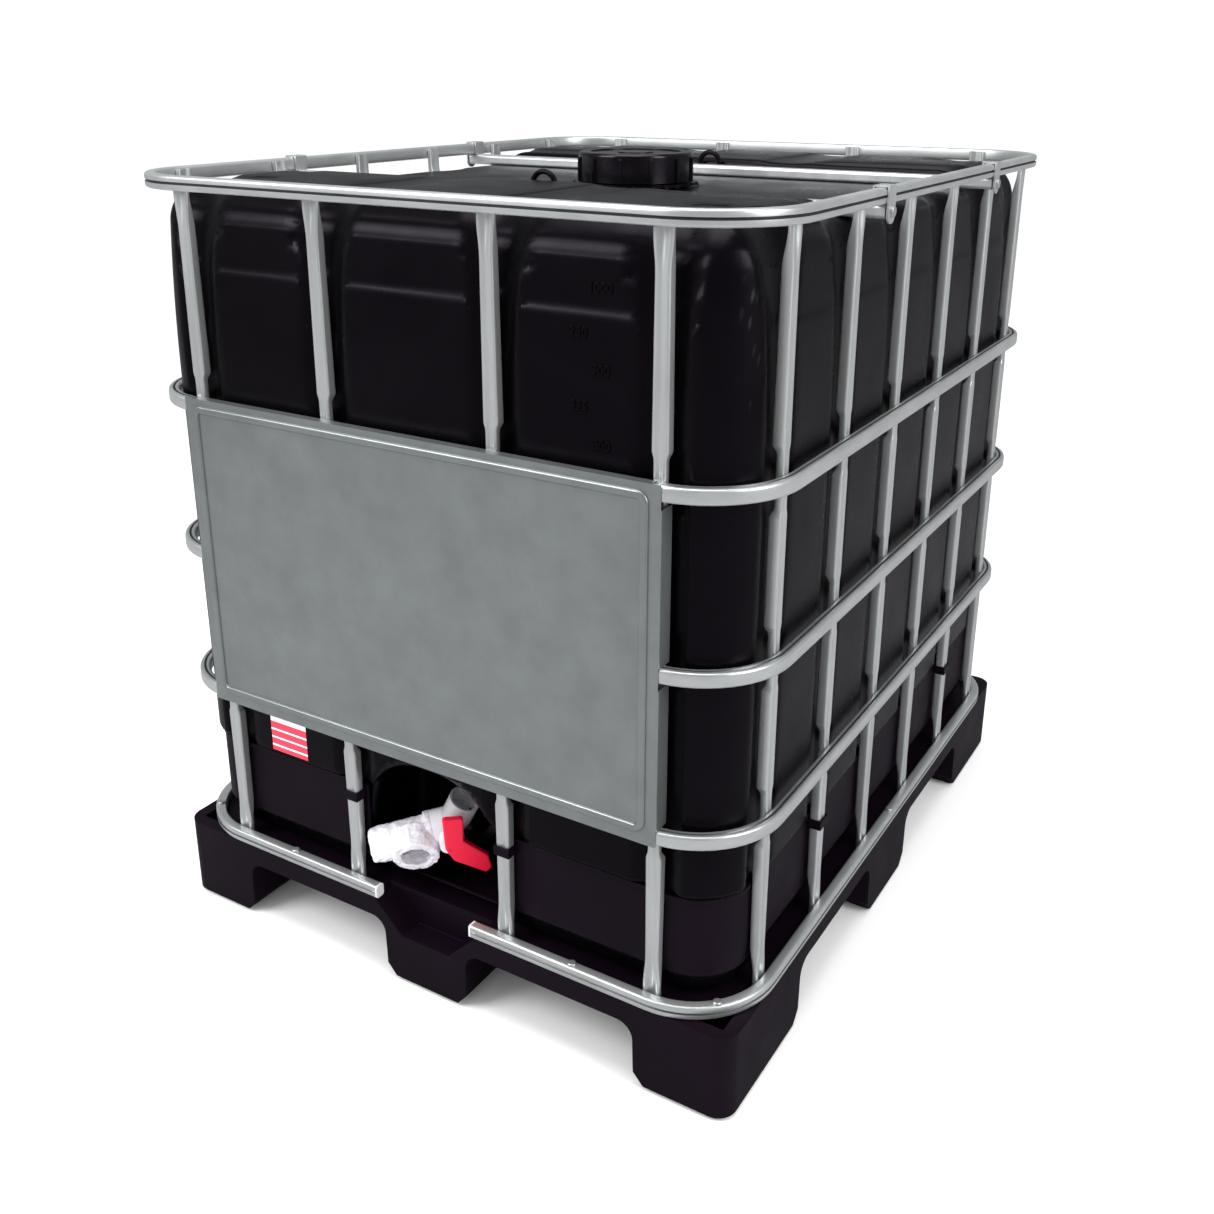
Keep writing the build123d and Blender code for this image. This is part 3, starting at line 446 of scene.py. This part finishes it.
# The skin's grid: fine where the bottle bends, coarse where it is flat. Across and deep it is
# (end, spacing) stretches from the middle; in height it is (start, end, spacing) stretches.
GRID_ACROSS = [(0.10, 0.008), (0.18, 0.006), (0.33, 0.015), (0.42, 0.006), (0.455, 0.007), (0.482, 0.004)]
GRID_DEEP = [(0.055, 0.008), (0.135, 0.006), (0.245, 0.010), (0.33, 0.006), (0.44, 0.012), (0.53, 0.006),
             (0.582, 0.004)]
GRID_UP = [(0.130, 0.296, 0.012), (0.297, 0.318, 0.003), (0.320, 0.372, 0.008), (0.380, 0.88, 0.028),
           (0.885, 1.085, 0.010), (1.088, 1.176, 0.004)]


def make_bottle(material):
    """The bottle's skin; the valve recess and the filling neck are open in it."""
    xs = grid_lines(GRID_ACROSS)
    ys = grid_lines(GRID_DEEP)
    zs = np.concatenate([np.arange(*stretch) for stretch in GRID_UP])
    points, faces = skin(bottle_field, xs, ys, zs)
    made = piece("bottle_skin", points, faces, material, ["bottle"])
    keep_creases(made, 50)


# ---------------------------------------------------------------- materials
class Paint:
    """One material's nodes around its main shader."""

    def __init__(self, name, **values):
        self.material = bpy.data.materials.new(name)
        self.material.use_nodes = True
        self.tree = self.material.node_tree
        self.shader = self.tree.nodes["Principled BSDF"]
        for socket, value in values.items():
            self.shader.inputs[socket.replace("_", " ")].default_value = value
        self.place = self.node("ShaderNodeTexCoord").outputs["Object"]

    def node(self, kind, **settings):
        made = self.tree.nodes.new(kind)
        for key, value in settings.items():
            setattr(made, key, value)
        return made

    def join(self, source, socket):
        self.tree.links.new(source, socket)

    def stretched(self, scale):
        mapping = self.node("ShaderNodeMapping")
        mapping.inputs["Scale"].default_value = scale
        self.join(self.place, mapping.inputs["Vector"])
        return mapping.outputs["Vector"]

    def noise(self, scale, detail=4.0, roughness=0.5, stretch=(1, 1, 1)):
        made = self.node("ShaderNodeTexNoise")
        made.inputs["Scale"].default_value = scale
        made.inputs["Detail"].default_value = detail
        made.inputs["Roughness"].default_value = roughness
        self.join(self.stretched(stretch), made.inputs["Vector"])
        return made.outputs["Fac"]

    def ramp(self, source, *stops):
        made = self.node("ShaderNodeValToRGB")
        elements = made.color_ramp.elements
        while len(elements) < len(stops):
            elements.new(0.5)
        for element, (position, colour) in zip(elements, stops):
            element.position = position
            element.color = (*colour, 1) if len(colour) == 3 else colour
        self.join(source, made.inputs["Fac"])
        return made.outputs["Color"]

    def between(self, source, low, high, start=0.0, end=1.0):
        made = self.node("ShaderNodeMapRange")
        made.inputs["From Min"].default_value = start
        made.inputs["From Max"].default_value = end
        made.inputs["To Min"].default_value = low
        made.inputs["To Max"].default_value = high
        self.join(source, made.inputs["Value"])
        return made.outputs["Result"]

    def bump(self, *layers, edge=0.0):
        """Bump layers as (height, strength, distance), one after another, over edges rounded by edge."""
        normal = None
        if edge:
            rounded = self.node("ShaderNodeBevel", samples=4)
            rounded.inputs["Radius"].default_value = edge
            normal = rounded.outputs["Normal"]
        for height, strength, distance in layers:
            made = self.node("ShaderNodeBump")
            made.inputs["Strength"].default_value = strength
            made.inputs["Distance"].default_value = distance
            self.join(height, made.inputs["Height"])
            if normal is not None:
                self.join(normal, made.inputs["Normal"])
            normal = made.outputs["Normal"]
        self.join(normal, self.shader.inputs["Normal"])

    def colour(self, source):
        self.join(source, self.shader.inputs["Base Color"])

    def rough(self, source):
        self.join(source, self.shader.inputs["Roughness"])


def galvanised(name, tone, tint, streak):
    """Zinc-coated steel: fine drawn streaks and faint, broad clouds."""
    paint = Paint(name, Metallic=0.82)
    paint.shader.inputs["Specular IOR Level"].default_value = 0.4
    dark = [tone * 0.90 * c for c in tint]
    light = [min(1.0, tone * 1.08 * c) for c in tint]
    paint.colour(paint.ramp(paint.noise(55.0, 4.0, 0.6, streak), (0.30, dark), (0.70, light)))
    paint.rough(paint.between(paint.noise(12.0, 5.0, 0.6, streak), 0.30, 0.42, 0.3, 0.7))
    paint.bump((paint.noise(300.0, 2.0, 0.5, streak), 0.08, 0.0005), (paint.noise(16.0, 2.0), 0.05, 0.002))
    return paint.material


def black_plastic(name, base, roughness, grain, haze=0.25, edge=0.0):
    """Moulded black plastic with a fine skin, faint flow and a little dust."""
    paint = Paint(name)
    paint.shader.inputs["Specular IOR Level"].default_value = haze
    dust = [c * 1.4 + 0.0006 for c in base]
    paint.colour(paint.ramp(paint.noise(5.0, 4.0, 0.6), (0.35, base), (0.75, dust)))
    paint.rough(paint.between(paint.noise(9.0, 5.0, 0.6), roughness - 0.05, roughness + 0.06, 0.3, 0.7))
    paint.shader.inputs["Specular Tint"].default_value = (0.92, 0.80, 1.0, 1.0)
    paint.bump((paint.noise(grain, 2.0, 0.5), 0.18, 0.0005), (paint.noise(6.0, 2.0), 0.10, 0.003), edge=edge)
    return paint.material


def white_plastic(name, colour, roughness, **values):
    paint = Paint(name, **values)
    shade = [c * 0.95 for c in colour]
    paint.colour(paint.ramp(paint.noise(18.0, 3.0), (0.3, shade), (0.7, colour)))
    paint.rough(paint.between(paint.noise(30.0, 3.0), roughness - 0.04, roughness + 0.06, 0.3, 0.7))
    paint.bump((paint.noise(220.0, 2.0), 0.10, 0.0005))
    return paint.material


def creased_film(name, colour):
    """Glossy pale film with sharp little creases."""
    paint = Paint(name)
    shade = [c * 0.80 for c in colour]
    paint.colour(paint.ramp(paint.noise(60.0, 4.0, 0.7), (0.35, shade), (0.6, colour)))
    paint.rough(paint.between(paint.noise(80.0, 3.0), 0.10, 0.24, 0.3, 0.7))
    paint.bump((paint.noise(140.0, 3.0, 0.6), 0.55, 0.002), (paint.noise(420.0, 2.0), 0.25, 0.0006))
    return paint.material


def label_print():
    """A red film with pale bars and a small pale panel, in place of any wording."""
    low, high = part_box("info_label")
    paint = Paint("label_print", Roughness=0.35)
    split = paint.node("ShaderNodeSeparateXYZ")
    paint.join(paint.place, split.inputs["Vector"])
    up = paint.between(split.outputs["Z"], 0.0, 1.0, low.z, high.z)
    bars = paint.ramp(up, (0.0, (0.72, 0.03, 0.07)), (0.12, (0.85, 0.82, 0.80)), (0.17, (0.72, 0.03, 0.07)),
                      (0.34, (0.85, 0.82, 0.80)), (0.39, (0.72, 0.03, 0.07)), (0.56, (0.85, 0.82, 0.80)),
                      (0.61, (0.72, 0.03, 0.07)), (0.80, (0.85, 0.82, 0.80)))
    bars.node.color_ramp.interpolation = "CONSTANT"
    paint.colour(bars)
    paint.bump((paint.noise(120.0), 0.1, 0.0004))
    return paint.material


COOL = (0.97, 1.0, 1.0)
TUBE_STEEL = galvanised("galvanised_tube_steel", 0.62, COOL, (1, 1, 0.12))
RING_STEEL = galvanised("galvanised_ring_steel", 0.62, COOL, (0.3, 0.3, 1))
# Painted shade: the ring steel at a much lower tone, put on the seam's groove faces where shadow falls.
SEAM_PAINTED_SHADE = galvanised("ring_seam_painted_shade", 0.12, COOL, (0.3, 0.3, 1))
PLATE_STEEL = galvanised("plate_sheet_steel", 0.30, (0.93, 1.0, 1.0), (0.3, 1, 0.3))
ZINC = galvanised("zinc_fastener_steel", 0.50, (1, 1, 1), (1, 1, 1))
PALLET_BLACK = black_plastic("pallet_black", (0.0042, 0.0014, 0.0044), 0.48, 240.0, 0.10, edge=0.003)
BOTTLE_BLACK = black_plastic("bottle_black", (0.0009, 0.0006, 0.0011), 0.30, 160.0, 0.10)
LID_BLACK = black_plastic("lid_black", (0.0012, 0.0010, 0.0013), 0.20, 200.0, 0.32, edge=0.0012)
RUBBER = black_plastic("seal_rubber_black", (0.008, 0.008, 0.008), 0.7, 300.0, 0.15)
VALVE_WHITE = white_plastic("valve_white", (0.80, 0.79, 0.84), 0.28)
FILM_WHITE = creased_film("spout_film_white", (0.80, 0.78, 0.84))
CLEAR_WHITE = white_plastic("bonnet_translucent", (0.86, 0.85, 0.88), 0.22, Transmission_Weight=0.55)
SEAT_WHITE = white_plastic("seat_white", (0.85, 0.85, 0.84), 0.4)
LEVER_RED = white_plastic("lever_red", (0.86, 0.010, 0.050), 0.42, Specular_IOR_Level=0.25)
CAP_WHITE = white_plastic("end_cap_white", (0.62, 0.62, 0.64), 0.45)
LABEL = label_print()

FINISHES = {
    "plate_steel": PLATE_STEEL,
    "galvanised_tube": TUBE_STEEL,
    "zinc_fastener": ZINC,
    "pallet_plastic": PALLET_BLACK,
    "bottle_plastic": BOTTLE_BLACK,
    "lid_plastic": LID_BLACK,
    "seal_rubber": RUBBER,
    "valve_plastic": VALVE_WHITE,
    "seat_plastic": SEAT_WHITE,
    "natural_plastic": CLEAR_WHITE,
    "lever_plastic": LEVER_RED,
    "end_cap_plastic": CAP_WHITE,
    "label_film": LABEL,
}


def paint_cad_nodes():
    """Gives every node that stays its finish."""
    for entry in frame["record"]["subparts"]:
        node = NODES[entry["node"]]
        node.data.materials.clear()
        node.data.materials.append(FINISHES[entry["material_slot"]])


# ---------------------------------------------------------------- volume scale
NUMERAL_SIZE = 0.0165
NUMERAL_HEIGHT = 0.0118
NUMERAL_THICKENING = 0.0002
NUMERAL_RISE = 0.0010
NUMERAL_BEVEL = 0.0003
LINE_PER_DIGIT = 0.0036
LINE_HALF = 0.0007
LINE_BACK = 0.001
LINE_FRONT = 0.0012
LINE_GAP = 0.0022
SLOPE_HALF = 0.006
FRONT_SEARCH = (-0.60, -0.50)
HALVINGS = 24
SCALE = [("1000", 0.285, 1.069), ("250", 0.257, 1.017), ("900", 0.288, 0.976), ("225", 0.259, 0.931),
         ("800", 0.290, 0.887)]


def front_face(x, z):
    """Where the bottle's front wall lies at x and z."""
    outside, inside = FRONT_SEARCH
    for _ in range(HALVINGS):
        half = (outside + inside) / 2
        if bottle_field(np.array(x), np.array(half), np.array(z)) > 0:
            outside = half
        else:
            inside = half
    return (outside + inside) / 2


def raised_mark(name, mesh, x, z):
    """Puts a flat mesh drawn in XY on the bottle's sloping front."""
    slope = (front_face(x, z + SLOPE_HALF) - front_face(x, z - SLOPE_HALF)) / (2 * SLOPE_HALF)
    mesh.transform(Matrix.Rotation(radians(90) - slope, 4, "X"))
    mesh.transform(Matrix.Translation((x, front_face(x, z), z)))
    mesh.materials.clear()
    mesh.materials.append(BOTTLE_BLACK)
    made = bpy.data.objects.new(name, mesh)
    bpy.context.scene.collection.objects.link(made)
    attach(made, CONTAINER)


def numeral(text, x, z):
    """Raised generic numerals with a line under them."""
    letters = bpy.data.curves.new("scale_" + text, "FONT")
    letters.body = text
    letters.size = NUMERAL_SIZE
    letters.align_x = "CENTER"
    letters.offset = NUMERAL_THICKENING
    letters.extrude = NUMERAL_RISE
    letters.bevel_depth = NUMERAL_BEVEL
    letters.resolution_u = 3
    holder = bpy.data.objects.new("scale_text_" + text, letters)
    bpy.context.scene.collection.objects.link(holder)
    bpy.context.view_layer.update()
    mesh = bpy.data.meshes.new_from_object(holder)
    bpy.data.objects.remove(holder)
    mesh.transform(Matrix.Translation((0, -NUMERAL_HEIGHT / 2, 0)))
    raised_mark("numeral_" + text, mesh, x, z)
    half = LINE_PER_DIGIT * len(text)
    line = bpy.data.meshes.new("line_" + text)
    corners = list(product((-half, half), (-LINE_HALF, LINE_HALF), (-LINE_BACK, LINE_FRONT)))
    sides = [(0, 1, 3, 2), (4, 6, 7, 5), (0, 4, 5, 1), (2, 3, 7, 6), (0, 2, 6, 4), (1, 5, 7, 3)]
    line.from_pydata(corners, [], sides)
    raised_mark("underline_" + text, line, x, z - NUMERAL_HEIGHT / 2 - LINE_GAP)


def make_scale():
    for text, x, z in SCALE:
        numeral(text, x, z)


# ---------------------------------------------------------------- crinkled film on the spout
FILM_VOXEL = 0.0013
FILM_LIFT = 0.0011
FILM_FOLDS = ((75, 0.0030), (190, 0.0012))


def film_height(point):
    """How far the film stands off the spout: a lift, less the creases of each size of fold."""
    return FILM_LIFT - sum(depth * abs(noise.noise(point * scale)) for scale, depth in FILM_FOLDS)


def make_spout():
    """The spout's skin, remeshed and creased like the film drawn over it."""
    source = NODES["valve_spout"]
    bpy.context.view_layer.update()
    copy = bpy.data.objects.new("spout_copy", source.data.copy())
    copy.matrix_world = source.matrix_world.copy()
    bpy.context.scene.collection.objects.link(copy)
    remesh = copy.modifiers.new("even", "REMESH")
    remesh.mode = "VOXEL"
    remesh.voxel_size = FILM_VOXEL
    graph = bpy.context.evaluated_depsgraph_get()
    mesh = bpy.data.meshes.new_from_object(copy.evaluated_get(graph))
    mesh.transform(copy.matrix_world)
    bpy.data.objects.remove(copy)
    count = len(mesh.vertices)
    points = np.zeros(count * 3)
    normals = np.zeros(count * 3)
    mesh.vertices.foreach_get("co", points)
    mesh.vertex_normals.foreach_get("vector", normals)
    points = points.reshape(-1, 3)
    heights = np.array([film_height(Vector(p)) for p in points])
    points = points + normals.reshape(-1, 3) * heights[:, None]
    mesh.vertices.foreach_set("co", points.ravel())
    mesh.polygons.foreach_set("use_smooth", [True] * len(mesh.polygons))
    mesh.materials.clear()
    mesh.materials.append(FILM_WHITE)
    mesh.update()
    made = bpy.data.objects.new("spout_film", mesh)
    bpy.context.scene.collection.objects.link(made)
    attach(made, CONTAINER)
    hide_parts("valve_spout")


# ---------------------------------------------------------------- build
def build_container():
    paint_cad_nodes()
    for node in RINGS:
        make_ring(node, RING_STEEL)
    for side, count in (("front", 4), ("back", 4), ("left", 6), ("right", 6)):
        for i in range(count):
            make_upright(f"{side}_tube_{i + 1}", TUBE_STEEL)
    make_bottle(BOTTLE_BLACK)
    make_scale()
    make_spout()


# ---------------------------------------------------------------- stage
FLOOR_HALF = 30
FLOOR_IN_GLOSS = (0.26, 0.26, 0.27, 1)
WORLD_FILL = 1.15
WORLD_GLOSS = 0.26
LAMP_TARGET = (0, 0, 0.6)
CAMERA_PLACE = (1.0351, -1.7882, 1.3035)
CAMERA_TURN = (1.235, -0.003, 0.544)
CAMERA_LENS = 37.75
CAMERA_SHIFT = (-0.0028, -0.0792)


def make_floor():
    """A pale floor, darker in reflections so that the black plastic stays black."""
    corners = [(sx * FLOOR_HALF, sy * FLOOR_HALF, 0) for sx, sy in ((-1, -1), (1, -1), (1, 1), (-1, 1))]
    mesh = bpy.data.meshes.new("floor")
    mesh.from_pydata(corners, [], [(0, 1, 2, 3)])
    paint = Paint("floor_pale", Roughness=0.9)
    paint.shader.inputs["Specular IOR Level"].default_value = 0.0
    pale = paint.ramp(paint.noise(0.4), (0.3, (0.90, 0.90, 0.90)), (0.7, (0.92, 0.92, 0.92)))
    mix = paint.node("ShaderNodeMix", data_type="RGBA")
    paint.join(paint.node("ShaderNodeLightPath").outputs["Is Glossy Ray"], mix.inputs["Factor"])
    paint.join(pale, mix.inputs[6])
    mix.inputs[7].default_value = FLOOR_IN_GLOSS
    paint.colour(mix.outputs[2])
    mesh.materials.append(paint.material)
    floor = bpy.data.objects.new("floor", mesh)
    bpy.context.scene.collection.objects.link(floor)


def make_light(name, place, target, size, power):
    """A rectangular lamp that faces the target."""
    lamp = bpy.data.lights.new(name, "AREA")
    lamp.shape = "RECTANGLE"
    lamp.size, lamp.size_y = size
    lamp.energy = power
    made = bpy.data.objects.new(name, lamp)
    made.location = place
    made.rotation_euler = (Vector(target) - Vector(place)).to_track_quat("-Z", "Y").to_euler()
    bpy.context.scene.collection.objects.link(made)


def make_world():
    """White to the camera and as fill, darker in reflections so that the gloss stays crisp."""
    world = bpy.data.worlds.new("studio")
    world.use_nodes = True
    bpy.context.scene.world = world
    tree = world.node_tree
    path = tree.nodes.new("ShaderNodeLightPath")
    fill = tree.nodes["Background"]
    fill.inputs["Color"].default_value = (1, 1, 1, 1)
    fill.inputs["Strength"].default_value = WORLD_FILL
    gloss = tree.nodes.new("ShaderNodeBackground")
    gloss.inputs["Color"].default_value = (0.93, 0.96, 1, 1)
    gloss.inputs["Strength"].default_value = WORLD_GLOSS
    mix = tree.nodes.new("ShaderNodeMixShader")
    tree.links.new(path.outputs["Is Glossy Ray"], mix.inputs["Fac"])
    tree.links.new(fill.outputs["Background"], mix.inputs[1])
    tree.links.new(gloss.outputs["Background"], mix.inputs[2])
    tree.links.new(mix.outputs["Shader"], tree.nodes["World Output"].inputs["Surface"])


def make_camera():
    lens = bpy.data.cameras.new("camera")
    lens.lens = CAMERA_LENS
    lens.sensor_width = 36
    lens.shift_x, lens.shift_y = CAMERA_SHIFT
    made = bpy.data.objects.new("camera", lens)
    made.location = CAMERA_PLACE
    made.rotation_euler = CAMERA_TURN
    bpy.context.scene.collection.objects.link(made)
    bpy.context.scene.camera = made


build_container()
make_floor()
make_world()
make_light("key_softbox", (-1.6, -2.6, 2.6), LAMP_TARGET, (1.6, 1.6), 80)
make_light("right_softbox", (3.0, -0.6, 2.2), LAMP_TARGET, (1.2, 2.0), 62)
make_light("top_softbox", (0, -0.4, 3.4), (0, 0, 0.9), (2.2, 2.2), 70)
make_camera()
bpy.context.scene.view_settings.view_transform = "Standard"
